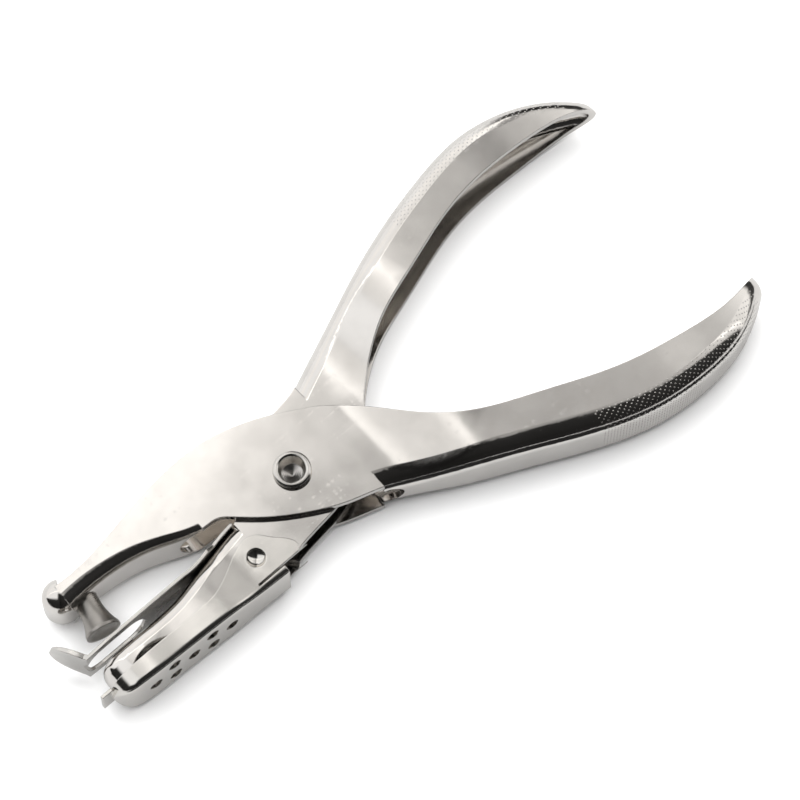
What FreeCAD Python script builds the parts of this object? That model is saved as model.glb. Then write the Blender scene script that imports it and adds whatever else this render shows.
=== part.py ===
import FreeCAD, Part
import math
import os

# Single-hole hand punch lying on its side. X runs from the jaws to the handles, along the die jaw.
# Y runs from the chip catcher towards the punch jaw. Z is the pivot axis, and z = 0 is the rest plane.
# Solids are drawn round the middle plane of the tool and lifted on to the rest plane when they are written.

# driving sizes, mm
sheet = 1.2                 # lever sheet
pivot_half = 5.15           # outer lever, half its width at the pivot
handle_half = 6.5           # both handles, half their width
side_gap = 0.1              # play between the two levers' flat plates
jaw_half = 4.75             # die jaw, half its width
rivet_r = 2.7               # rivet shank
hole_play = 0.05            # radial play round rivets and dimples
punch_end_r = 3.1           # cutting end of the punch
punch_neck_r = 2.1          # its waist
die_play = 0.28             # radial room in the die hole for the punch's arc
catcher_sheet = 0.6
catcher_gap = 0.15          # between the catcher and the die lever
strip_sheet = 0.6
strip_half = 4.9
wire_r = 0.6                # spring wire
spring_turns = 2.6
leg_x = (14.2, 13.4)        # where its legs end in the die lever's handle and the punch lever's
corner_r = 3.2              # outside radius between a handle's back and its sides
punch_jaw_r = (2.6, 1.0)    # the same on the punch jaw, at its nose and at its rear
die_jaw_r = 2.3             # and on the die jaw
catcher_r = 0.9

# sizes worked out from those
lift = handle_half + 0.03    # the rivet's flat head is the lowest thing on the rest side
die_half = pivot_half - sheet - side_gap
catcher_grow = catcher_gap + catcher_sheet
far = 120.0                 # longer than the tool, for cutting shapes

# the outer (punch) lever's outline: free edge, nose and web, jaw to handle
nose_a = (-42.0, 9.7)
nose_a_r = 3.1
web_a = [
    (nose_a[0], nose_a[1] - nose_a_r), (-37.0, 6.9), (-33.0, 6.7), (-29.0, 6.1), (-25.0, 4.9), (-21.0, 3.3),
    (-17.5, 2.3), (-14.6, 2.0), (-12.3, 0.3), (-8.8, -2.9), (-2.6, -7.2), (3.0, -10.0), (9.5, -12.2),
    (18.5, -16.9), (31.6, -23.3), (44.0, -29.2), (53.0, -32.2), (63.0, -33.3), (72.0, -32.2), (78.5, -29.3),
    (85.0, -24.6),
]
edge_a = [
    (nose_a[0], 10.9), (-33.0, 11.2), (-24.0, 12.8), (-15.0, 13.9), (-8.0, 13.7), (-1.0, 11.9), (7.9, 7.5),
    (14.0, 3.0), (19.1, -2.7), (22.5, -6.8), (28.2, -11.7), (39.4, -17.2), (51.0, -22.1), (64.3, -25.4),
    (74.2, -26.1), (79.0, -25.3), (86.0, -23.0),
]
window_a = (-17.5, 9.5)     # the web is cut away between these, at the pivot
tip_a = 81.6
swell_a = (13.0, 27.0)      # its handle widens between these

# the inner (die) lever's outline
die_face_y = -3.7
die_web = [
    (-60.0, die_face_y), (-52.0, die_face_y), (-44.0, die_face_y), (-37.0, die_face_y), (-31.5, die_face_y),
    (-27.5, -3.3), (-24.0, -2.5), (-20.5, -1.7), (-16.7, -0.8), (-13.0, -0.2),
]
plate_b = [(-13.0, -0.2), (-9.5, 2.2), (-5.0, 6.0), (0.0, 8.9), (4.2, 10.0)]
web_b = [
    (8.0, 10.5), (17.2, 14.5), (25.2, 17.6), (33.2, 20.6), (40.8, 23.1), (47.9, 24.9), (54.5, 26.2),
    (60.4, 26.7), (66.0, 26.1), (72.0, 24.4), (78.2, 21.2), (83.0, 17.7), (87.0, 14.6),
]
edge_b = [
    (88.0, 12.6), (83.0, 15.4), (78.2, 17.1), (73.8, 17.8), (66.5, 18.3), (59.0, 18.4), (50.4, 17.3),
    (43.5, 15.3), (36.4, 13.0), (29.1, 10.4), (23.7, 7.2), (19.6, 3.9), (16.9, 1.2), (14.0, -2.5), (9.0, -6.6),
    (4.0, -8.7), (-3.3, -9.8), (-7.8, -10.5),
]
window_b = (-13.0, 10.4)
tip_b = 82.9
nose_b = -45.6
wall_b_y = -8.5             # lower edge of the die jaw's sides
scoop_x = -37.4             # where those sides are scooped out
swell_b = (16.5, 35.0)      # its handle widens between these
jaw_flare = (-24.0, -16.5)  # the die jaw widens between these

# the chip catcher
dimple = (-14.2, -7.2)
dimple_r = 1.9              # outside of the pressed dimple; its hollow is one sheet smaller
seam_y = -7.8
catcher_floor = [           # outside of its bottom, from the rounded front to the rear
    (-46.6, -7.0), (-46.0, -9.2), (-44.6, -10.6), (-42.0, -11.25), (-34.0, -11.65), (-24.0, -12.05),
    (-14.0, -12.45), (-6.5, -12.75),
]
catcher_rear = -11.6        # where the bottom stops
slit_front = -17.0
tab_y = -7.6
ear = [
    (-26.0, seam_y), (-22.7, -7.4), (-19.6, -6.0), (-15.9, -4.0), (-13.5, -3.5), (-11.6, -4.2), (-9.9, -6.2),
    (-8.0, -8.3), (-7.5, -9.5), (-8.3, -10.9),
]

# the punch
punch_tip = (-40.2, 1.1)
punch_lean = 11.8           # lean of the punch when the tool is open, degrees
punch_head_y = 8.9          # its peened head sits on the inside of the web

# the stripper strip: its under side from the hidden rear end, and the rivet that holds it to the die jaw
strip_low = [(-13.1, -0.13), (-14.8, -0.4), (-16.7, -0.72), (-20.5, -1.6), (-25.0, -1.9)]
fold = (-46.1, -2.0)
tab_tip = (-49.2, 4.3)
strip_slot = (-43.0, -37.3)     # centres of the slot's round ends
strip_neck = (-19.4, -17.9)     # it narrows here to go between the punch lever's plates
strip_rivet_at = (-15.1, -0.55)
strip_rivet_way = (-0.16, 0.987)
strip_rivet_r = 0.9
strip_rivet_gap = 0.12


def spline(points):
    """A smooth curve through points."""
    curve = Part.BSplineCurve()
    curve.interpolate([FreeCAD.Vector(x, y, 0) for x, y in points])
    return curve.toShape()


def line(start, end):
    return Part.makeLine(FreeCAD.Vector(*start, 0), FreeCAD.Vector(*end, 0))


def beside(points, distance):
    """The same points moved sideways, to the left of the way the curve runs."""
    curve = spline(points).Curve
    moved = []
    for x, y in points:
        tangent = curve.tangent(curve.parameter(FreeCAD.Vector(x, y, 0)))[0]
        moved.append((x - distance * tangent.y, y + distance * tangent.x))
    return moved


def slab(edges, low, high):
    """The area inside some joined edges, between two heights."""
    face = Part.Face(Part.Wire(Part.__sortEdges__(edges)))
    face.translate(FreeCAD.Vector(0, 0, low))
    return face.extrude(FreeCAD.Vector(0, 0, high - low))


def polygon(points, low, high):
    edges = [line(points[i - 1], points[i]) for i in range(len(points))]
    return slab(edges, low, high)


def turned_plan(edges):
    """An area drawn with the width as its Y, made into a wall running along Y."""
    solid = slab(edges, -far, far)
    solid.rotate(FreeCAD.Vector(0, 0, 0), FreeCAD.Vector(1, 0, 0), 90)
    return solid


def box(x_range, y_range, z_range):
    size = [r[1] - r[0] for r in (x_range, y_range, z_range)]
    return Part.makeBox(*size, FreeCAD.Vector(x_range[0], y_range[0], z_range[0]))


def post(x, y, radius, low, high):
    return Part.makeCylinder(radius, high - low, FreeCAD.Vector(x, y, low))


def round_web(solid, web, radius, last_radius=None):
    """Rounds the long edges between a web and the two sides. The radius may change evenly along the web."""
    curve = spline(web)
    ends = (web[0][0], web[-1][0])
    chosen = []
    for edge in solid.Edges:
        middle = edge.valueAt(0.5 * (edge.FirstParameter + edge.LastParameter))
        flat = Part.Vertex(middle.x, middle.y, 0)
        on_web = curve.distToShape(flat)[0] < 0.01
        crosswise = min(abs(middle.x - end) for end in ends) < 0.01
        if on_web and not crosswise:
            chosen.append(edge)
    if last_radius is None:
        return solid.makeFillet(radius, chosen)
    return solid.makeFillet(radius, last_radius, chosen)


def flare(start, end, narrow, wide):
    """Half-widths that swell smoothly from narrow to wide."""
    stations = []
    for i in range(5):
        share = i / 4
        swell = (1 - math.cos(math.pi * share)) / 2
        stations.append((start + share * (end - start), narrow + (wide - narrow) * swell))
    return stations


def spoon_plan(narrow, swell, tip, inset):
    """A handle's plan: it swells from the pivot, runs straight and narrows to a rounded tip."""
    taper = 23.5
    fullness = 2 / 2.3
    straight_end = tip - taper
    side = flare(swell[0], swell[1], narrow, handle_half)
    room = straight_end - swell[1]
    side += [(swell[1] + share * room, handle_half) for share in (0.2, 0.4, 0.7, 1.0)]
    for i in range(1, 6):
        turn = math.pi / 2 * i / 6
        along = straight_end + taper * math.sin(turn) ** fullness
        side.append((along, handle_half * math.cos(turn) ** fullness))
    return plan_of(side, tip, swell[0] - 14, 1, inset)


def plan_of(side, tip, root, way, inset):
    """A plan from its one side: mirrored, closed round its tip, with straight sides back to the root."""
    half = side[0][1]
    run = side[0][0] - root
    straight = [(root + share * run, half) for share in (0.0, 0.3, 0.6, 0.85)]
    side = straight + side
    around = side + [(tip, 0.0)] + [(x, -y) for x, y in reversed(side)]
    if inset:
        around = beside(around, -way * inset)
    return turned_plan([spline(around), line(around[-1], around[0])])


def handle_channel(web, edge, narrow, swell, tip, outward):
    """A handle: a channel whose back is the web. outward is the side of the web curve that faces out."""
    ends = [line(web[0], edge[0]), line(web[-1], edge[-1])]
    outside = slab([spline(web), spline(edge)] + ends, -far, far).common(spoon_plan(narrow, swell, tip, 0))
    outside = round_web(outside, web, corner_r)
    inner_web = beside(web, -outward * sheet)
    start = (inner_web[0][0], inner_web[0][1] - outward * far)
    end = (inner_web[-1][0], inner_web[-1][1] - outward * far)
    inner_edges = [spline(inner_web), line(inner_web[0], start), line(start, end), line(end, inner_web[-1])]
    inside = slab(inner_edges, -far, far).common(spoon_plan(narrow, swell, tip, sheet))
    inside = round_web(inside, inner_web, corner_r - sheet)
    return outside.cut(inside)


def part_of(points, first, last):
    return [p for p in points if first - 0.01 <= p[0] <= last + 0.01]


def pivot_plates(outline, half):
    """The two flat plates of a lever at the pivot."""
    plate = slab(outline, half - sheet, half)
    other = plate.copy()
    other.translate(FreeCAD.Vector(0, 0, sheet - 2 * half))
    return plate.fuse(other)


def jaw_a():
    """The punch jaw: a channel with its web towards the die, and a round hollow nose."""
    web = part_of(web_a, nose_a[0], -14.6)
    edge = part_of(edge_a, nose_a[0], -8.0)
    outline = [spline(web), spline(edge), line(web[0], edge[0]), line(web[-1], edge[-1])]
    outside = round_web(slab(outline, -pivot_half, pivot_half), web, *punch_jaw_r)
    inner = beside(web, sheet)
    inner_top = [(inner[0][0], far), (inner[-1][0], far)]
    inner_outline = [
        spline(inner), line(inner[0], inner_top[0]), line(inner_top[0], inner_top[1]),
        line(inner_top[1], inner[-1]),
    ]
    inner_half = pivot_half - sheet
    inner_r = [max(radius - sheet, 0.25) for radius in punch_jaw_r]
    inside = round_web(slab(inner_outline, -inner_half, inner_half), inner, *inner_r)
    channel = outside.cut(inside)
    channel = channel.common(box((-far, window_a[0]), (-far, far), (-far, far)))
    # an arched end to the web
    arch_r = 0.86 * pivot_half
    arch = Part.makeCylinder(
        arch_r, 5 * sheet, FreeCAD.Vector(window_a[0] + 0.3, 5 * sheet, 0), FreeCAD.Vector(0, -1, 0)
    )
    channel = channel.cut(arch)
    bulb = capsule(nose_a_r).cut(capsule(nose_a_r - sheet))
    open_side = box((nose_a[0], far), (-far, far), (-far, far))
    curl_corners = [nose_a, (nose_a[0] + 2, nose_a[1] + 3 * sheet), (nose_a[0], nose_a[1] + 5 * sheet)]
    curl = polygon(curl_corners, -far, far)
    curl = curl.common(capsule(nose_a_r)).cut(capsule(nose_a_r - sheet))
    return channel.fuse(bulb.cut(open_side)).fuse(curl)


def capsule(radius):
    """A rod across the nose with round ends."""
    reach = pivot_half - nose_a_r
    solid = post(nose_a[0], nose_a[1], radius, -reach, reach)
    for z in (-reach, reach):
        solid = solid.fuse(Part.makeSphere(radius, FreeCAD.Vector(nose_a[0], nose_a[1], z)))
    return solid.removeSplitter()


def punch_lever():
    lower = web_a
    upper = edge_a
    plate_outline = [spline(lower), spline(upper), line(lower[0], upper[0]), line(lower[-1], upper[-1])]
    plates = pivot_plates(plate_outline, pivot_half).common(box(window_a, (-far, far), (-far, far)))
    web = part_of(web_a, 3.0, far)
    edge = part_of(edge_a, 7.9, far)
    handle = handle_channel(web, edge, pivot_half, swell_a, tip_a, -1)
    handle = handle.common(box((window_a[1], far), (-far, far), (-far, far)))
    notch = Part.makeCylinder(
        0.5 * pivot_half, 4 * sheet, FreeCAD.Vector(window_a[1], -14.0, 0), FreeCAD.Vector(0.45, 0.89, 0)
    )
    lever = plates.fuse(jaw_a()).fuse(handle.cut(notch))
    lever = lever.cut(post(0, 0, rivet_r + hole_play, -far, far))
    return lever.cut(punch_shape(hole_play / 2)).removeSplitter()


def jaw_plan_solid(grow, nose_x):
    """The die jaw's plan: flared out from between the punch lever's plates, with a round nose."""
    nose_run = 4.6
    narrow = die_half + grow
    wide = jaw_half + grow
    start = nose_x + nose_run
    side = flare(jaw_flare[1], jaw_flare[0], narrow, wide)
    side += [(-28.0, wide), (-34.0, wide)]
    for i in range(4):
        turn = math.pi / 2 * (1 + i / 4)
        side.append((start + nose_run * math.cos(turn), wide * math.sin(turn)))
    return plan_of(side, nose_x, -6.0, -1, 0)


def die_jaw():
    outline = [
        spline(die_web), line(die_web[-1], (die_web[-1][0], wall_b_y)),
        line((die_web[-1][0], wall_b_y), (die_web[0][0], wall_b_y)),
        line((die_web[0][0], wall_b_y), die_web[0]),
    ]
    outside = slab(outline, -far, far).common(jaw_plan_solid(0, nose_b))
    outside = round_web(outside, die_web, die_jaw_r)
    inner_web = beside(die_web, -sheet)
    first = inner_web[0]
    last = inner_web[-1]
    inner_outline = [
        spline(inner_web), line(last, (last[0], -far)), line((last[0], -far), (first[0], -far)),
        line((first[0], -far), first),
    ]
    inside = slab(inner_outline, -far, far).common(jaw_plan_solid(-sheet, nose_b + sheet))
    inside = round_web(inside, inner_web, die_jaw_r - sheet)
    return outside.cut(inside)


def die_hole_x():
    """Middle of the die hole: where the punch's end is as it goes through the die face."""
    outer = math.hypot(punch_tip[0] - punch_end_r, punch_tip[1])
    inner = math.hypot(punch_tip[0] + punch_end_r, punch_tip[1])
    depth = die_face_y - sheet / 2
    return -0.5 * (math.sqrt(outer**2 - depth**2) + math.sqrt(inner**2 - depth**2))


def die_lever():
    low = (window_b[0], wall_b_y)
    step = (-9.6, wall_b_y)
    foot = edge_b[-1]
    joined = plate_b + web_b
    tail = edge_b[::-1]
    outline = [
        spline(joined), spline(tail), line(joined[-1], tail[-1]), line(foot, step), line(step, low),
        line(low, plate_b[0]),
    ]
    plates = pivot_plates(outline, die_half).common(box(window_b, (-far, far), (-far, far)))
    edge = part_of(tail, web_b[0][0], far)
    handle = handle_channel(web_b, edge, die_half, swell_b, tip_b, 1)
    handle = handle.common(box((window_b[1], far), (-far, far), (-far, far)))
    lever = plates.fuse(die_jaw()).fuse(handle)
    lever = lever.cut(post(0, 0, rivet_r + hole_play, -far, far))
    lever = lever.cut(post(*dimple, dimple_r + 2 * hole_play, -far, far))
    hole_r = punch_end_r + die_play
    hole = Part.makeCylinder(hole_r, 6, FreeCAD.Vector(die_hole_x(), -8, 0), FreeCAD.Vector(0, 1, 0))
    lever = lever.cut(hole)
    # the jaw's sides are scooped where the catcher's edge shows a leaf-shaped gap
    scoop_r = 7.2
    scoop_depth = 1.8
    for sign in (-1, 1):
        near, deep = sorted((sign, 2 * sign * jaw_half))
        lever = lever.cut(post(scoop_x, wall_b_y - scoop_r + scoop_depth, scoop_r, near, deep))
    return lever.cut(strip_rivet_hole()).removeSplitter()


def punch_shape(grow):
    """The waisted punch, standing on its cutting end before it is leaned over."""
    reach = (punch_head_y - punch_tip[1]) / math.cos(math.radians(punch_lean))
    head_height = 0.9
    head_spread = (0.75, 0.2)
    web_low = reach - head_height - sheet - 0.1
    land = 0.5
    neck = punch_neck_r + grow
    profile = Part.Wire([
        line((0, 0), (punch_end_r + grow, 0)),
        line((punch_end_r + grow, 0), (punch_end_r + grow, land)),
        Part.Arc(
            FreeCAD.Vector(punch_end_r + grow, land, 0),
            FreeCAD.Vector(neck + 0.12, 0.55 * web_low, 0),
            FreeCAD.Vector(neck, web_low, 0),
        ).toShape(),
        line((neck, web_low), (neck, reach - head_height)),
        line((neck, reach - head_height), (neck + head_spread[0], reach - head_height)),
        line((neck + head_spread[0], reach - head_height), (neck + head_spread[1], reach)),
        line((neck + head_spread[1], reach), (0, reach)),
        line((0, reach), (0, 0)),
    ])
    solid = Part.Face(profile).revolve(FreeCAD.Vector(0, 0, 0), FreeCAD.Vector(0, 1, 0), 360)
    if not grow:
        dish_r = 9.0
        dish_depth = 0.4
        solid = solid.cut(Part.makeSphere(dish_r, FreeCAD.Vector(0, dish_depth - dish_r, 0)))
    solid.rotate(FreeCAD.Vector(0, 0, 0), FreeCAD.Vector(0, 0, 1), -punch_lean)
    solid.translate(FreeCAD.Vector(*punch_tip, 0))
    return solid


def pivot_rivet():
    """Flat factory head on the rest side, tube end rolled over on the other."""
    shank_low = -pivot_half - hole_play
    shank_high = pivot_half + hole_play
    ring_r = 0.55
    bore_r = rivet_r - 0.85
    mouth_r = rivet_r - 0.3
    bore_depth = 1.4
    point_depth = 0.9           # the drill's pointed end
    solid = post(0, 0, 1.3 * rivet_r, -lift, shank_low)
    solid = solid.fuse(post(0, 0, rivet_r, shank_low, shank_high + ring_r))
    solid = solid.fuse(Part.makeTorus(rivet_r, ring_r, FreeCAD.Vector(0, 0, shank_high + ring_r)))
    floor_z = shank_high - bore_depth
    mouth = Part.makeCone(bore_r, mouth_r, bore_depth + 3 * ring_r, FreeCAD.Vector(0, 0, floor_z))
    drill = Part.makeCone(0, bore_r, point_depth, FreeCAD.Vector(0, 0, floor_z - point_depth))
    return solid.cut(mouth).cut(drill).removeSplitter()


def strip_bar(radius, low, high):
    """A rod across the strip and the die jaw's web, from one distance above the web to another."""
    way = FreeCAD.Vector(*strip_rivet_way, 0)
    return Part.makeCylinder(radius, high - low, FreeCAD.Vector(*strip_rivet_at, 0) + way * low, way)


def strip_rivet():
    under = -sheet - 2 * strip_rivet_gap
    over = strip_sheet + strip_rivet_gap + 0.08
    head = strip_bar(1.9 * strip_rivet_r, over, over + 0.45)
    tail = strip_bar(1.7 * strip_rivet_r, under - 0.4, under)
    return strip_bar(strip_rivet_r, under - 0.2, over + 0.2).fuse(head).fuse(tail).removeSplitter()


def strip_rivet_hole():
    return strip_bar(strip_rivet_r + hole_play, -2 * sheet, 2 * sheet)


def stripper_strip():
    """A springy strip on the die jaw, slotted for the punch, with an upturned tab at its front."""
    lean = math.atan2(tab_tip[0] - fold[0], tab_tip[1] - fold[1])
    across = (strip_sheet * math.cos(lean), -strip_sheet * math.sin(lean))
    top = beside(strip_low, -strip_sheet)
    top_fold = (fold[0] + strip_sheet * 1.25, fold[1] + strip_sheet)
    top_tip = (tab_tip[0] + across[0], tab_tip[1] + across[1])
    side = slab([
        spline(strip_low), line(strip_low[-1], fold), line(fold, tab_tip), line(tab_tip, top_tip),
        line(top_tip, top_fold), line(top_fold, top[-1]), spline(top), line(top[0], strip_low[0]),
    ], -far, far)
    solid = side.common(strip_plan()).common(tab_plan())
    slot_half = punch_end_r + 0.3
    slot = box(strip_slot, (fold[1] - sheet, -fold[1]), (-slot_half, slot_half))
    for x in strip_slot:
        low = FreeCAD.Vector(x, fold[1] - sheet, 0)
        slot = slot.fuse(Part.makeCylinder(slot_half, -2 * fold[1] + sheet, low, FreeCAD.Vector(0, 1, 0)))
    return solid.cut(slot).cut(strip_rivet_hole()).removeSplitter()


def strip_plan():
    """The strip seen from above: narrow between the lever's plates, wide over the jaw."""
    inner = die_half - side_gap
    rear = strip_low[0][0] + 0.2
    front = tab_tip[0] - sheet
    half = [(front, strip_half), (strip_neck[0], strip_half), (strip_neck[1], inner), (rear, inner)]
    outline = half + [(x, -y) for x, y in reversed(half)]
    return turned_plan([line(outline[i - 1], outline[i]) for i in range(len(outline))])


def tab_plan():
    """The strip seen square to its upturned tab, which narrows at the fold and has a round tip."""
    length = math.hypot(tab_tip[0] - fold[0], tab_tip[1] - fold[1])
    taper = ((0.1, 0.86), (0.45, 0.86), (0.75, 0.72), (0.94, 0.38))
    side = [(share * length, part * strip_half) for share, part in taper]
    front = side + [(length, 0.0)] + [(x, -y) for x, y in reversed(side)]
    edges = [spline(front), line((-far, far), (-far, -far))]
    for sign in (1, -1):
        shoulder = (-2.5 * strip_sheet, sign * strip_half)
        edges += [
            line((side[0][0], sign * side[0][1]), shoulder), line(shoulder, (shoulder[0], sign * far)),
            line((shoulder[0], sign * far), (-far, sign * far)),
        ]
    solid = turned_plan(edges)
    way = math.degrees(math.atan2(tab_tip[1] - fold[1], tab_tip[0] - fold[0]))
    solid.rotate(FreeCAD.Vector(0, 0, 0), FreeCAD.Vector(0, 0, 1), way)
    solid.translate(FreeCAD.Vector(*fold, 0))
    return solid


def return_spring():
    """A coil round the rivet between the inner plates, with a leg in each handle."""
    mean_r = rivet_r + 0.3 + wire_r
    room = 2 * (die_half - sheet) - 4 * side_gap
    pitch = (room - 2 * wire_r) / spring_turns
    height = pitch * spring_turns
    upper = leg_end(web_b, leg_x[0], -1)
    lower = leg_end(web_a, leg_x[1], 1)
    start_turn = tangent_turn(lower, mean_r, 1)
    end_turn = tangent_turn(upper, mean_r, -1)
    sweep = end_turn - start_turn
    sweep += 2 * math.pi * round(spring_turns - sweep / (2 * math.pi))
    steps = 30
    path = [at_height(lower, -height / 2, share, start_turn, mean_r) for share in (0.0, 0.5)]
    for i in range(steps + 1):
        share = i / steps
        turn = start_turn + sweep * share
        z = -height / 2 + height * share
        path.append(FreeCAD.Vector(mean_r * math.cos(turn), mean_r * math.sin(turn), z))
    path += [at_height(upper, height / 2, share, end_turn, mean_r) for share in (0.5, 0.0)]
    curve = Part.BSplineCurve()
    curve.interpolate(path)
    rail = curve.toShape()
    ring = Part.Wire(Part.makeCircle(wire_r, path[0], rail.tangentAt(rail.FirstParameter)))
    return Part.Wire(rail).makePipeShell([ring], True, True)


def at_height(goal, z, share, turn, radius):
    """A point on a straight leg, from its end near the middle plane (share 0) to the coil (share 1)."""
    start = (*goal, 0.25 * z)
    on_coil = (radius * math.cos(turn), radius * math.sin(turn), z)
    return FreeCAD.Vector(*[a + share * (b - a) for a, b in zip(start, on_coil)])


def leg_end(web, x, side):
    """Where a leg's middle stops, just inside a handle's web."""
    inner = beside(web, side * (sheet + wire_r + 0.08))
    curve = spline(inner)
    ray = line((x, -far), (x, far))
    point = curve.distToShape(ray)[1][0][0]
    return (point.x, point.y)


def tangent_turn(point, radius, side):
    """Angle on the coil from which a straight leg runs to a point."""
    reach = math.hypot(*point)
    return math.atan2(point[1], point[0]) + side * math.acos(radius / reach)


def chip_catcher():
    front = nose_b - catcher_grow
    level = catcher_floor[-1]
    outline = [
        line(catcher_floor[0], (catcher_floor[0][0], seam_y)), line((catcher_floor[0][0], seam_y), ear[0]),
        spline(ear),
        line(ear[-1], (level[0], ear[-1][1])), line((level[0], ear[-1][1]), level), spline(catcher_floor),
    ]
    outside = slab(outline, -far, far).common(jaw_plan_solid(catcher_grow, front))
    outside = round_web(outside, catcher_floor, catcher_r)
    inner_floor = beside(catcher_floor, catcher_sheet)
    first = inner_floor[0]
    last = inner_floor[-1]
    inner_outline = [
        spline(inner_floor), line(last, (last[0], far)), line((last[0], far), (first[0], far)),
        line((first[0], far), first),
    ]
    inside = slab(inner_outline, -far, far).common(jaw_plan_solid(catcher_gap, nose_b - catcher_gap))
    inside = round_web(inside, inner_floor, catcher_r - catcher_sheet)
    shell = outside.cut(inside)
    # the bottom stops short of the ears' tails, and a slit parts it from them
    slit_low = ear[-1][1] - 0.4
    slit_high = ear[-1][1] - 0.02
    shell = shell.cut(box((catcher_rear, 0), (-far, slit_high), (-far, far)))
    shell = shell.cut(box((slit_front, 0), (slit_low, slit_high), (-far, far)))
    below = level[1] - 2
    for x, z in catcher_holes():
        shell = shell.cut(Part.makeCylinder(1.2, 6, FreeCAD.Vector(x, below, z), FreeCAD.Vector(0, 1, 0)))
    tab_half = 2.6
    tab_x = (front - 1.8, front + 0.35)
    shell = shell.cut(box((front - 1, front + 3), (tab_y, far), (-tab_half, tab_half)))
    shell = shell.fuse(box(tab_x, (tab_y - catcher_sheet, tab_y), (-tab_half, tab_half)))
    outer_face = die_half + catcher_grow
    inner_face = outer_face - catcher_sheet - sheet
    for sign in (-1, 1):
        shell = shell.fuse(post(*dimple, dimple_r, *sorted((sign * inner_face, sign * outer_face))))
    bowl_r = 1.05 * dimple_r
    for sign in (-1, 1):
        bowl = FreeCAD.Vector(dimple[0], dimple[1], sign * (outer_face + 0.55 * bowl_r))
        shell = shell.cut(Part.makeSphere(bowl_r, bowl))
    return shell.removeSplitter()


def catcher_holes():
    """One, two, one, two, one along the bottom."""
    first = -39.6
    pitch = 3.95
    apart = 2.3
    places = []
    for i in range(5):
        rows = (0.0,) if i % 2 == 0 else (-apart, apart)
        places += [(first + pitch * i, z) for z in rows]
    return places


def main():
    os.makedirs("parts", exist_ok=True)
    pieces = {
        "punch_lever": punch_lever(),
        "die_lever": die_lever(),
        "pivot_rivet": pivot_rivet(),
        "return_spring": return_spring(),
        "punch_pin": punch_shape(0),
        "stripper_strip": stripper_strip(),
        "strip_rivet": strip_rivet(),
        "chip_catcher": chip_catcher(),
    }
    for name, shape in pieces.items():
        shape.translate(FreeCAD.Vector(0, 0, lift))
        print(name, "solids", len(shape.Solids), "valid", shape.isValid(), "volume", round(shape.Volume, 1))
        shape.exportStep("parts/" + name + ".step")


main()
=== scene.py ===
import bpy, math
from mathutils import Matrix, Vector
from mathutils.bvhtree import BVHTree


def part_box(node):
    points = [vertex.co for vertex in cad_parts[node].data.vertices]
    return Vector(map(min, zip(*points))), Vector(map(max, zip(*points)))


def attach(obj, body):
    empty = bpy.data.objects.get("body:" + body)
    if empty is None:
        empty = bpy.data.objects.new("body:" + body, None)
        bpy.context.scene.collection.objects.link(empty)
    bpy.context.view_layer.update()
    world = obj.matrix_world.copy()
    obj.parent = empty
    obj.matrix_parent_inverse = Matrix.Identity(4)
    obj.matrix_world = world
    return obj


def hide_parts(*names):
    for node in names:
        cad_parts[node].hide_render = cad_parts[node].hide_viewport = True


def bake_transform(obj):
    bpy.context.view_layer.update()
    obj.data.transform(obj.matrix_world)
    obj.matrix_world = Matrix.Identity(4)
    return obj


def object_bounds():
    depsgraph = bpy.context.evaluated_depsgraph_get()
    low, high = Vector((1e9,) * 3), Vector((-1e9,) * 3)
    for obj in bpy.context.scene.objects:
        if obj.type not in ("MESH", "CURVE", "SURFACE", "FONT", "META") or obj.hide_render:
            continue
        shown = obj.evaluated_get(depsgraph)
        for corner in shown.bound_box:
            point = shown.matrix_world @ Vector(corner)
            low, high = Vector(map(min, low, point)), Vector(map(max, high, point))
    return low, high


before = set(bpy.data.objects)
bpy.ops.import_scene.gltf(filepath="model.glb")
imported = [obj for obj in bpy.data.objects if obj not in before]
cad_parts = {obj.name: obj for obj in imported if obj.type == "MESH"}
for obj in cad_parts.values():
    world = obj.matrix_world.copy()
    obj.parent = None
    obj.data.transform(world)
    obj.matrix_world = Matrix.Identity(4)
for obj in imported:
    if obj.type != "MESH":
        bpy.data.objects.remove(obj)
cadLow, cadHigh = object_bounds()
mm = 0.001
centre = (cadLow + cadHigh) / 2
scene = bpy.context.scene
print("frame loaded")

# the way the camera looks at the tool, in degrees and metres
mainView = {
    "azimuth": -42.0, "elevation": 69.0, "distance": 0.700, "lens": 189.0, "nudge": (6.0 * mm, 2.2 * mm, 0.0),
}


def backVector(azimuth, elevation):
    a = math.radians(azimuth)
    e = math.radians(elevation)
    return Vector((math.sin(a) * math.cos(e), -math.cos(a) * math.cos(e), math.sin(e)))


def makeCamera(view):
    data = bpy.data.cameras.new("camera")
    data.lens = view["lens"]
    data.sensor_width = 36.0
    data.clip_start = 0.01
    data.clip_end = 20.0
    camera = bpy.data.objects.new("camera", data)
    back = backVector(view["azimuth"], view["elevation"])
    camera.location = centre + Vector(view["nudge"]) + back * view["distance"]
    camera.rotation_mode = "QUATERNION"
    camera.rotation_quaternion = (-back).to_track_quat("-Z", "Y")
    scene.collection.objects.link(camera)
    scene.camera = camera


# ---- node helpers, shared by every material
def addMath(tree, operation, *values):
    node = tree.nodes.new("ShaderNodeMath")
    node.operation = operation
    for socket, value in zip(node.inputs, values):
        if isinstance(value, (int, float)):
            socket.default_value = value
        else:
            tree.links.new(value, socket)
    return node.outputs[0]


def addRange(tree, value, fromLow, fromHigh, toLow=0.0, toHigh=1.0):
    node = tree.nodes.new("ShaderNodeMapRange")
    for name, amount in (("Value", value), ("From Min", fromLow), ("From Max", fromHigh),
                         ("To Min", toLow), ("To Max", toHigh)):
        if isinstance(amount, (int, float)):
            node.inputs[name].default_value = amount
        else:
            tree.links.new(amount, node.inputs[name])
    return node.outputs["Result"]


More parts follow.
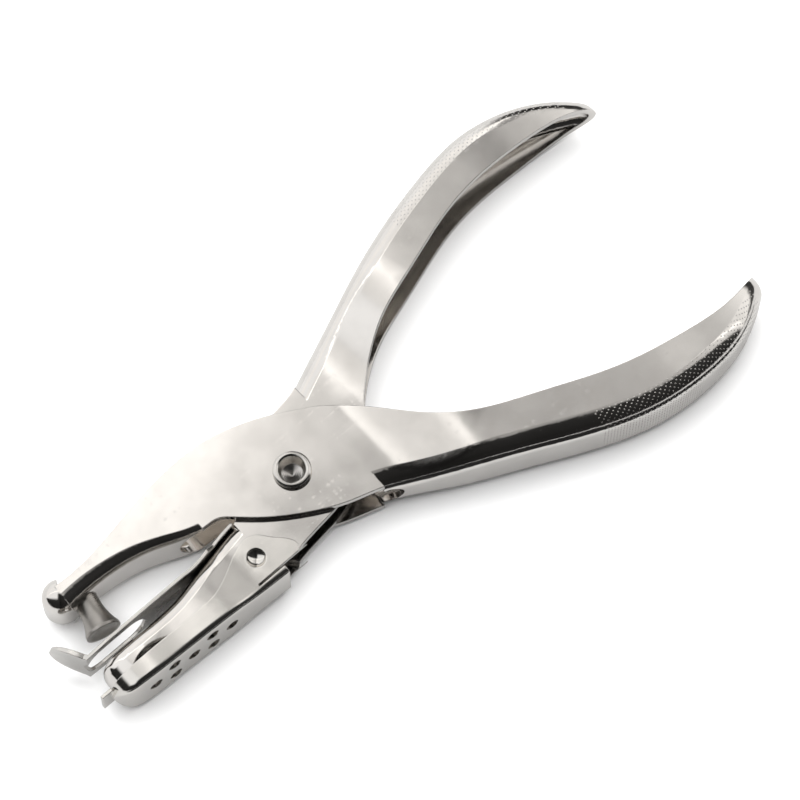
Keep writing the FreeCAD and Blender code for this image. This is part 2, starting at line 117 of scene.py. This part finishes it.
def addRamp(tree, value, stops, tint=(1.0, 1.0, 1.0)):
    node = tree.nodes.new("ShaderNodeValToRGB")
    elements = node.color_ramp.elements
    while len(elements) > 1:
        elements.remove(elements[-1])
    for i, (position, level) in enumerate(stops):
        element = elements[0] if i == 0 else elements.new(position)
        element.position = position
        element.color = (*[level * t for t in tint], 1)
    tree.links.new(value, node.inputs["Fac"])
    return node.outputs["Color"]


def newTree(name):
    material = bpy.data.materials.new(name)
    material.use_nodes = True
    material.node_tree.nodes.clear()
    return material, material.node_tree


# ---- surroundings
# overhead: brightness by angle from straight up towards the viewer's side, in degrees
# crosswise: how much of that is left, by angle towards the viewer's right, in degrees
# window: a bright pane low on the viewer's left, with where its two edges start and end
studio = {
    "tint": (1.0, 0.985, 0.965),
    "overhead": [
        (-180, 0.45), (-106, 0.45), (-98, 0.05), (-68, 0.05), (-60, 1.1), (-45, 1.1), (-30, 0.9),
        (-24.4, 1.1), (-23, 2.0), (-21.6, 2.1), (-20.7, 1.2), (-20.2, 0.97), (-17.5, 0.95), (-12, 0.85),
        (-8, 0.8), (-3, 0.04), (60, 0.02), (100, 0.02), (112, 0.5), (180, 0.6),
    ],
    "crosswise": [
        (-30, 1.0), (-8, 1.1), (-2.9, 1.5), (-2.1, 0.62), (-0.8, 0.56), (0.0, 0.42), (0.8, 0.34),
        (4.0, 0.33), (5.0, 0.45), (7, 0.65), (14, 0.7), (30, 1.0),
    ],
    "spread": 30.0,
    "window": {"left": (-8.0, -15.0), "low": (34.0, 18.0), "level": 1.05},
}


def makeWorld(look):
    world = bpy.data.worlds.new("surroundings")
    world.use_nodes = True
    scene.world = world
    tree = world.node_tree
    tree.nodes.clear()
    place = tree.nodes.new("ShaderNodeTexCoord").outputs["Generated"]

    def along(direction):
        node = tree.nodes.new("ShaderNodeVectorMath")
        node.operation = "DOT_PRODUCT"
        node.inputs[1].default_value = direction
        tree.links.new(place, node.inputs[0])
        return node.outputs["Value"]

    towards = along(backVector(mainView["azimuth"], 0))
    sideways = along(backVector(mainView["azimuth"] + 90, 0))
    up = along((0, 0, 1))
    lean = addRange(tree, addMath(tree, "ARCTAN2", towards, up), -math.pi, math.pi)
    overheadStops = [((turn + 180) / 360, level) for turn, level in look["overhead"]]
    overhead = addRamp(tree, lean, overheadStops, look["tint"])
    spread = look["spread"]
    limit = math.radians(spread)
    turned = addRange(tree, addMath(tree, "ARCSINE", sideways), -limit, limit)
    crosswiseStops = [((turn + spread) / (2 * spread), level) for turn, level in look["crosswise"]]
    crosswise = addRamp(tree, turned, crosswiseStops)
    both = tree.nodes.new("ShaderNodeVectorMath")
    both.operation = "MULTIPLY"
    tree.links.new(overhead, both.inputs[0])
    tree.links.new(crosswise, both.inputs[1])
    pane = look["window"]
    across = addRange(tree, turned, *[(turn + spread) / (2 * spread) for turn in pane["left"]])
    upright = addRange(tree, lean, *[(turn + 180) / 360 for turn in pane["low"]])
    glow = addMath(tree, "MULTIPLY", addMath(tree, "MULTIPLY", across, upright), pane["level"])
    lit = tree.nodes.new("ShaderNodeVectorMath")
    lit.operation = "MAXIMUM"
    tree.links.new(both.outputs["Vector"], lit.inputs[0])
    tree.links.new(glow, lit.inputs[1])
    reflected = tree.nodes.new("ShaderNodeBackground")
    tree.links.new(lit.outputs["Vector"], reflected.inputs["Color"])
    plain = tree.nodes.new("ShaderNodeBackground")
    plain.inputs["Color"].default_value = (0.97, 0.97, 0.97, 1)
    rays = tree.nodes.new("ShaderNodeLightPath")
    mixed = tree.nodes.new("ShaderNodeMixShader")
    tree.links.new(rays.outputs["Is Camera Ray"], mixed.inputs["Fac"])
    tree.links.new(reflected.outputs["Background"], mixed.inputs[1])
    tree.links.new(plain.outputs["Background"], mixed.inputs[2])
    out = tree.nodes.new("ShaderNodeOutputWorld")
    tree.links.new(mixed.outputs["Shader"], out.inputs["Surface"])


# a pale floor whose colour is painted darker where the metal reflects it: painted shade in the reflections
floorLook = {"size": 3.0, "pale": 0.93, "paintedShadeInMetal": 0.52, "rough": 0.8}


def makeFloor(look):
    size = look["size"]
    corners = [(-size, -size, 0), (size, -size, 0), (size, size, 0), (-size, size, 0)]
    mesh = bpy.data.meshes.new("floor")
    mesh.from_pydata(corners, [], [(0, 1, 2, 3)])
    floor = bpy.data.objects.new("floor", mesh)
    scene.collection.objects.link(floor)
    material, tree = newTree("floor")
    shader = tree.nodes.new("ShaderNodeBsdfPrincipled")
    rays = tree.nodes.new("ShaderNodeLightPath")
    # painted shade: glossy rays see the floor darker than the camera and diffuse light do
    shade = addRange(tree, rays.outputs["Is Glossy Ray"], 0.0, 1.0, look["pale"], look["paintedShadeInMetal"])
    tree.links.new(shade, shader.inputs["Base Color"])
    shader.inputs["Roughness"].default_value = look["rough"]
    out = tree.nodes.new("ShaderNodeOutputMaterial")
    tree.links.new(shader.outputs["BSDF"], out.inputs["Surface"])
    mesh.materials.append(material)


# a near-black sheet on the floor on the viewer's side, seen only in the metal, where it paints dark
# reflections; distances in millimetres
paintedReflectionSheetLook = {
    "edge": ((-90, -24), (8, -28), (60, -49), (120, -44)), "reach": 400.0, "lift": 0.05, "shade": 0.012,
}


def makePaintedReflectionSheet(look):
    away = backVector(mainView["azimuth"], 0) * look["reach"]
    near = [Vector((x, y, look["lift"])) for x, y in look["edge"]]
    outline = near + [point + away for point in reversed(near)]
    mesh = bpy.data.meshes.new("painted reflection sheet")
    mesh.from_pydata([point * mm for point in outline], [], [tuple(range(len(outline)))])
    sheet = bpy.data.objects.new("painted reflection sheet", mesh)
    scene.collection.objects.link(sheet)
    material, tree = newTree("painted reflection sheet")
    shader = tree.nodes.new("ShaderNodeBsdfPrincipled")
    # its near-black colour is the painted dark reflection the metal shows
    shader.inputs["Base Color"].default_value = (look["shade"], look["shade"], look["shade"], 1)
    shader.inputs["Roughness"].default_value = 1.0
    shader.inputs["Specular IOR Level"].default_value = 0.0
    out = tree.nodes.new("ShaderNodeOutputMaterial")
    tree.links.new(shader.outputs["BSDF"], out.inputs["Surface"])
    mesh.materials.append(material)
    sheet.visible_camera = False
    sheet.visible_diffuse = False
    sheet.visible_shadow = False


# a wide soft light high over the tool; metal reflects the surroundings instead of it
lampLook = {"place": (0.12, 0.2, 1.2), "size": (1.6, 1.6), "power": 30.0}


def makeLamp(look):
    data = bpy.data.lights.new("soft light", "AREA")
    data.shape = "RECTANGLE"
    data.size, data.size_y = look["size"]
    data.energy = look["power"]
    lamp = bpy.data.objects.new("soft light", data)
    lamp.location = look["place"]
    lamp.rotation_mode = "QUATERNION"
    lamp.rotation_quaternion = (-Vector(look["place"])).to_track_quat("-Z", "Y")
    lamp.visible_glossy = False
    scene.collection.objects.link(lamp)


# ---- effects shared by the metals
def makeGroup(name, inputs, outputs):
    group = bpy.data.node_groups.new(name, "ShaderNodeTree")
    for label, value in inputs:
        socket = group.interface.new_socket(label, in_out="INPUT", socket_type="NodeSocketFloat")
        socket.default_value = value
    for label in outputs:
        group.interface.new_socket(label, in_out="OUTPUT", socket_type="NodeSocketFloat")
    return group, group.nodes.new("NodeGroupInput"), group.nodes.new("NodeGroupOutput")


def addNoise(tree, size, detail, stretch=(1, 1, 1), turn=0.0):
    # size in millimetres; a larger stretch number makes finer grain that way
    place = tree.nodes.new("ShaderNodeTexCoord")
    mapping = tree.nodes.new("ShaderNodeMapping")
    mapping.inputs["Scale"].default_value = [share / (size * mm) for share in stretch]
    mapping.inputs["Rotation"].default_value = (0, 0, turn)
    tree.links.new(place.outputs["Object"], mapping.inputs["Vector"])
    noise = tree.nodes.new("ShaderNodeTexNoise")
    noise.inputs["Scale"].default_value = 1.0
    noise.inputs["Detail"].default_value = detail
    tree.links.new(mapping.outputs["Vector"], noise.inputs["Vector"])
    return noise.outputs["Fac"]


# each noise: size in millimetres, detail, stretch and turn; a span is the part of it that is used
wearLook = {
    "smear": (11.0, 3.0), "smearSpan": (0.35, 0.68),
    "scratchOneWay": (2.0, 2.0, (0.06, 3.0, 1.0), 0.5), "scratchOtherWay": (2.5, 2.0, (3.0, 0.08, 1.0), 0.9),
    "scratchSpan": (0.36, 0.42), "scratchRough": 0.12, "scratchHeight": -0.0015,
    "ripple": (18.0, 1.0), "tone": (5.0, 4.0),
}
grainLook = {"lines": (0.9, 3.0, (0.12, 5.0, 1.0), 0.1), "span": (0.4, 0.6)}


def makeWear(look):
    # smears that change the gloss, hairline scratches two ways, and slow dents in pressed sheet
    tree, given, out = makeGroup(
        "handling wear",
        (("Rough Low", 0.10), ("Rough High", 0.22), ("Scratches", 0.5), ("Ripple", 0.5)),
        ("Roughness", "Height", "Tone"),
    )
    smears = addNoise(tree, *look["smear"])
    glossRange = (given.outputs["Rough Low"], given.outputs["Rough High"])
    gloss = addRange(tree, smears, *look["smearSpan"], *glossRange)
    crossed = addMath(tree, "MULTIPLY", addNoise(tree, *look["scratchOneWay"]),
                      addNoise(tree, *look["scratchOtherWay"]))
    hairline = addRange(tree, crossed, *look["scratchSpan"])
    hairline = addMath(tree, "MULTIPLY", hairline, given.outputs["Scratches"])
    roughness = addMath(tree, "MULTIPLY_ADD", hairline, look["scratchRough"], gloss)
    tree.links.new(roughness, out.inputs["Roughness"])
    ripple = addMath(tree, "MULTIPLY", addNoise(tree, *look["ripple"]), given.outputs["Ripple"])
    height = addMath(tree, "MULTIPLY_ADD", hairline, look["scratchHeight"], ripple)
    tree.links.new(height, out.inputs["Height"])
    tree.links.new(addNoise(tree, *look["tone"]), out.inputs["Tone"])
    return tree


def makeGrain(look):
    # drawn or ground lines along one way, for strip, wire and cut faces
    tree, given, out = makeGroup("drawn grain", (("Depth", 0.5), ("Amount", 0.5)), ("Height", "Gloss Change"))
    lines = addNoise(tree, *look["lines"])
    tree.links.new(addMath(tree, "MULTIPLY", lines, given.outputs["Depth"]), out.inputs["Height"])
    shown = addRange(tree, lines, *look["span"])
    tree.links.new(addMath(tree, "MULTIPLY", shown, given.outputs["Amount"]), out.inputs["Gloss Change"])
    return tree


def makeTurning():
    # rings left by a lathe tool round an axis through a given point
    tree = bpy.data.node_groups.new("turning rings", "ShaderNodeTree")
    for label, kind in (("Axis Point", "NodeSocketVector"), ("Pitch", "NodeSocketFloat")):
        tree.interface.new_socket(label, in_out="INPUT", socket_type=kind)
    tree.interface.new_socket("Height", in_out="OUTPUT", socket_type="NodeSocketFloat")
    given = tree.nodes.new("NodeGroupInput")
    out = tree.nodes.new("NodeGroupOutput")
    place = tree.nodes.new("ShaderNodeTexCoord")
    apart = tree.nodes.new("ShaderNodeVectorMath")
    apart.operation = "SUBTRACT"
    tree.links.new(place.outputs["Object"], apart.inputs[0])
    tree.links.new(given.outputs["Axis Point"], apart.inputs[1])
    flat = tree.nodes.new("ShaderNodeVectorMath")
    flat.operation = "MULTIPLY"
    flat.inputs[1].default_value = (1, 1, 0)
    tree.links.new(apart.outputs["Vector"], flat.inputs[0])
    reach = tree.nodes.new("ShaderNodeVectorMath")
    reach.operation = "LENGTH"
    tree.links.new(flat.outputs["Vector"], reach.inputs[0])
    turns = addMath(tree, "DIVIDE", reach.outputs["Value"], given.outputs["Pitch"])
    tree.links.new(addMath(tree, "SINE", addMath(tree, "MULTIPLY", turns, 2 * math.pi)), out.inputs["Height"])
    return tree


edgeRadius = 0.22 * mm
edgeSamples = 6
toneSpan = (0.3, 0.7)
wear = makeWear(wearLook)
grain = makeGrain(grainLook)
turning = makeTurning()


def startMetal(name, look):
    # a metal with its own two tones and its own share of the wear; returns its parts for additions
    material, tree = newTree(name)
    shader = tree.nodes.new("ShaderNodeBsdfPrincipled")
    shader.inputs["Metallic"].default_value = 1.0
    worn = tree.nodes.new("ShaderNodeGroup")
    worn.node_tree = wear
    for key in ("Rough Low", "Rough High", "Scratches", "Ripple"):
        worn.inputs[key].default_value = look[key]
    tone = tree.nodes.new("ShaderNodeValToRGB")
    colours = (look["dull"], look["bright"])
    for element, position, colour in zip(tone.color_ramp.elements, toneSpan, colours):
        element.position = position
        element.color = (*colour, 1)
    tree.links.new(worn.outputs["Tone"], tone.inputs["Fac"])
    tree.links.new(tone.outputs["Color"], shader.inputs["Base Color"])
    out = tree.nodes.new("ShaderNodeOutputMaterial")
    tree.links.new(shader.outputs["BSDF"], out.inputs["Surface"])
    return material, tree, shader, worn


def finishMetal(tree, shader, roughness, height, strength):
    tree.links.new(roughness, shader.inputs["Roughness"])
    # worn edges catch a thin line of light
    edge = tree.nodes.new("ShaderNodeBevel")
    edge.samples = edgeSamples
    edge.inputs["Radius"].default_value = edgeRadius
    bump = tree.nodes.new("ShaderNodeBump")
    tree.links.new(edge.outputs["Normal"], bump.inputs["Normal"])
    bump.inputs["Strength"].default_value = strength
    bump.inputs["Distance"].default_value = 1.0 * mm
    tree.links.new(height, bump.inputs["Height"])
    tree.links.new(bump.outputs["Normal"], shader.inputs["Normal"])


def platedMetal(name, look):
    material, tree, shader, worn = startMetal(name, look)
    finishMetal(tree, shader, worn.outputs["Roughness"], worn.outputs["Height"], look["bump"])
    return material


def grainedMetal(name, look):
    material, tree, shader, worn = startMetal(name, look)
    drawn = tree.nodes.new("ShaderNodeGroup")
    drawn.node_tree = grain
    drawn.inputs["Depth"].default_value = look["grainDepth"]
    drawn.inputs["Amount"].default_value = look["grainGloss"]
    height = addMath(tree, "ADD", worn.outputs["Height"], drawn.outputs["Height"])
    roughness = addMath(tree, "ADD", worn.outputs["Roughness"], drawn.outputs["Gloss Change"])
    finishMetal(tree, shader, roughness, height, look["bump"])
    return material


def turnedMetal(name, look, axisPoint):
    material, tree, shader, worn = startMetal(name, look)
    rings = tree.nodes.new("ShaderNodeGroup")
    rings.node_tree = turning
    rings.inputs["Axis Point"].default_value = axisPoint
    rings.inputs["Pitch"].default_value = look["ringPitch"]
    height = addMath(tree, "MULTIPLY_ADD", rings.outputs["Height"], look["ringDepth"], worn.outputs["Height"])
    finishMetal(tree, shader, worn.outputs["Roughness"], height, look["bump"])
    return material


leverLook = {
    "dull": (0.73, 0.705, 0.675), "bright": (0.80, 0.775, 0.745), "Rough Low": 0.07, "Rough High": 0.15,
    "Scratches": 0.5, "Ripple": 0.05, "bump": 0.5,
}
catcherLook = {
    "dull": (0.72, 0.70, 0.665), "bright": (0.79, 0.765, 0.73), "Rough Low": 0.10, "Rough High": 0.19,
    "Scratches": 0.7, "Ripple": 0.09, "bump": 0.5,
}
rivetLook = {
    "dull": (0.62, 0.60, 0.575), "bright": (0.72, 0.70, 0.67), "Rough Low": 0.16, "Rough High": 0.28,
    "Scratches": 0.3, "Ripple": 0.2, "bump": 0.4, "ringPitch": 0.28 * mm, "ringDepth": 0.012,
}
punchLook = {
    "dull": (0.30, 0.285, 0.265), "bright": (0.44, 0.42, 0.395), "Rough Low": 0.20, "Rough High": 0.34,
    "Scratches": 0.6, "Ripple": 0.3, "bump": 0.5, "grainDepth": 0.006, "grainGloss": 0.06,
}
stripLook = {
    "dull": (0.60, 0.585, 0.56), "bright": (0.72, 0.70, 0.67), "Rough Low": 0.13, "Rough High": 0.24,
    "Scratches": 0.6, "Ripple": 0.3, "bump": 0.5, "grainDepth": 0.004, "grainGloss": 0.05,
}
springLook = {
    "dull": (0.34, 0.325, 0.30), "bright": (0.50, 0.48, 0.45), "Rough Low": 0.20, "Rough High": 0.32,
    "Scratches": 0.4, "Ripple": 0.2, "bump": 0.4, "grainDepth": 0.005, "grainGloss": 0.06,
}


def paintNodes():
    low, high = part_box("pivot_rivet")
    pivot = (low + high) / 2
    plated = platedMetal("plated steel", leverLook)
    finishes = {
        "punch_lever": plated,
        "die_lever": plated,
        "chip_catcher": platedMetal("plated sheet", catcherLook),
        "pivot_rivet": turnedMetal("rivet steel", rivetLook, pivot),
        "strip_rivet": turnedMetal("small rivet steel", rivetLook, pivot),
        "punch_pin": grainedMetal("tool steel", punchLook),
        "stripper_strip": grainedMetal("spring strip", stripLook),
        "return_spring": grainedMetal("spring wire", springLook),
    }
    for name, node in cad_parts.items():
        node.data.materials.clear()
        node.data.materials.append(finishes[name])
    return plated


def makeSpring():
    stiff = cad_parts["return_spring"]
    spring = bpy.data.objects.new("bending_return_spring", stiff.data.copy())
    spring.matrix_world = stiff.matrix_world.copy()
    scene.collection.objects.link(spring)
    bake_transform(spring)
    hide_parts("return_spring")


# ---- grip dots: small domes pressed out of the handles' backs, in staggered rows
gripLook = {
    "pitch": 0.60 * mm, "radius": 0.135 * mm, "height": 0.06 * mm, "rings": 2, "sides": 8, "fan": 88.0,
    "rowStep": 0.87, "leastFacing": 0.06, "spareRays": 6,
}
punchGripX = (43.5 * mm, 79.0 * mm)
dieGripX = (42.0 * mm, 79.0 * mm)


def nodeTree(name):
    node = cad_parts[name]
    points = [node.matrix_world @ v.co for v in node.data.vertices]
    return BVHTree.FromPolygons(points, [tuple(p.vertices) for p in node.data.polygons])


def addDome(points, faces, spot, normal, look):
    across = normal.orthogonal().normalized()
    other = normal.cross(across)
    first = len(points)
    sides = look["sides"]
    for ring in range(look["rings"]):
        lift = math.pi / 2 * ring / look["rings"]
        for side in range(sides):
            turn = 2 * math.pi * side / sides
            flat = across * math.cos(turn) + other * math.sin(turn)
            outward = flat * look["radius"] * math.cos(lift)
            points.append(spot + outward + normal * look["height"] * math.sin(lift))
    points.append(spot + normal * look["height"])
    for ring in range(look["rings"]):
        for side in range(sides):
            here = first + ring * sides + side
            beside = first + ring * sides + (side + 1) % sides
            if ring + 1 < look["rings"]:
                faces.append((here, beside, beside + sides, here + sides))
            else:
                faces.append((here, beside, len(points) - 1))


def inBox(point):
    return Vector([min(max(value, low), high) for value, low, high in zip(point, cadLow, cadHigh)])


def makeGrip(name, node, body, xRange, outward, material, look):
    # rays come in from round the handle's back, across its width, row by row along the handle
    tree = nodeTree(node)
    points = []
    faces = []
    rowPitch = look["pitch"] * look["rowStep"]
    rows = int((xRange[1] - xRange[0]) / rowPitch)
    halfWidth = (cadHigh.z - cadLow.z) / 2
    middle = centre.z
    fan = int(2 * halfWidth / look["pitch"]) + look["spareRays"]
    for row in range(rows):
        x = xRange[0] + row * rowPitch
        for i in range(fan):
            share = (i + 0.5 * (row % 2) - (fan - 1) / 2) / (fan / 2)
            turn = share * math.radians(look["fan"])
            way = Vector((0, outward * math.cos(turn), math.sin(turn)))
            target = Vector((x, gripMiddle(tree, x, middle, outward) - outward * halfWidth, middle))
            spot, normal, index, distance = tree.ray_cast(target + way * 3 * halfWidth, -way)
            if spot is None:
                continue
            if normal.dot(way) < 0:
                normal = -normal
            if normal.y * outward > look["leastFacing"]:
                addDome(points, faces, spot, normal, look)
    points = [inBox(p) for p in points]
    mesh = bpy.data.meshes.new(name)
    mesh.from_pydata(points, [], faces)
    mesh.polygons.foreach_set("use_smooth", [True] * len(mesh.polygons))
    mesh.materials.append(material)
    grip = bpy.data.objects.new(name, mesh)
    scene.collection.objects.link(grip)
    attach(grip, body)
    print(name, len(points), "points")


def gripMiddle(tree, x, z, outward):
    # where the back of the handle is at this place along it
    spot = tree.ray_cast(Vector((x, outward, z)), Vector((0, -outward, 0)))[0]
    return spot.y if spot is not None else 0.0


scene.view_settings.view_transform = "Standard"
makeCamera(mainView)
makeWorld(studio)
makeFloor(floorLook)
makePaintedReflectionSheet(paintedReflectionSheetLook)
makeLamp(lampLook)
print("stage set")
plated = paintNodes()
print("finishes given")
makeSpring()
makeGrip("punch_handle_grip_dots", "punch_lever", "punch_side", punchGripX, -1, plated, gripLook)
makeGrip("die_handle_grip_dots", "die_lever", "die_side", dieGripX, 1, plated, gripLook)
print("grips made")
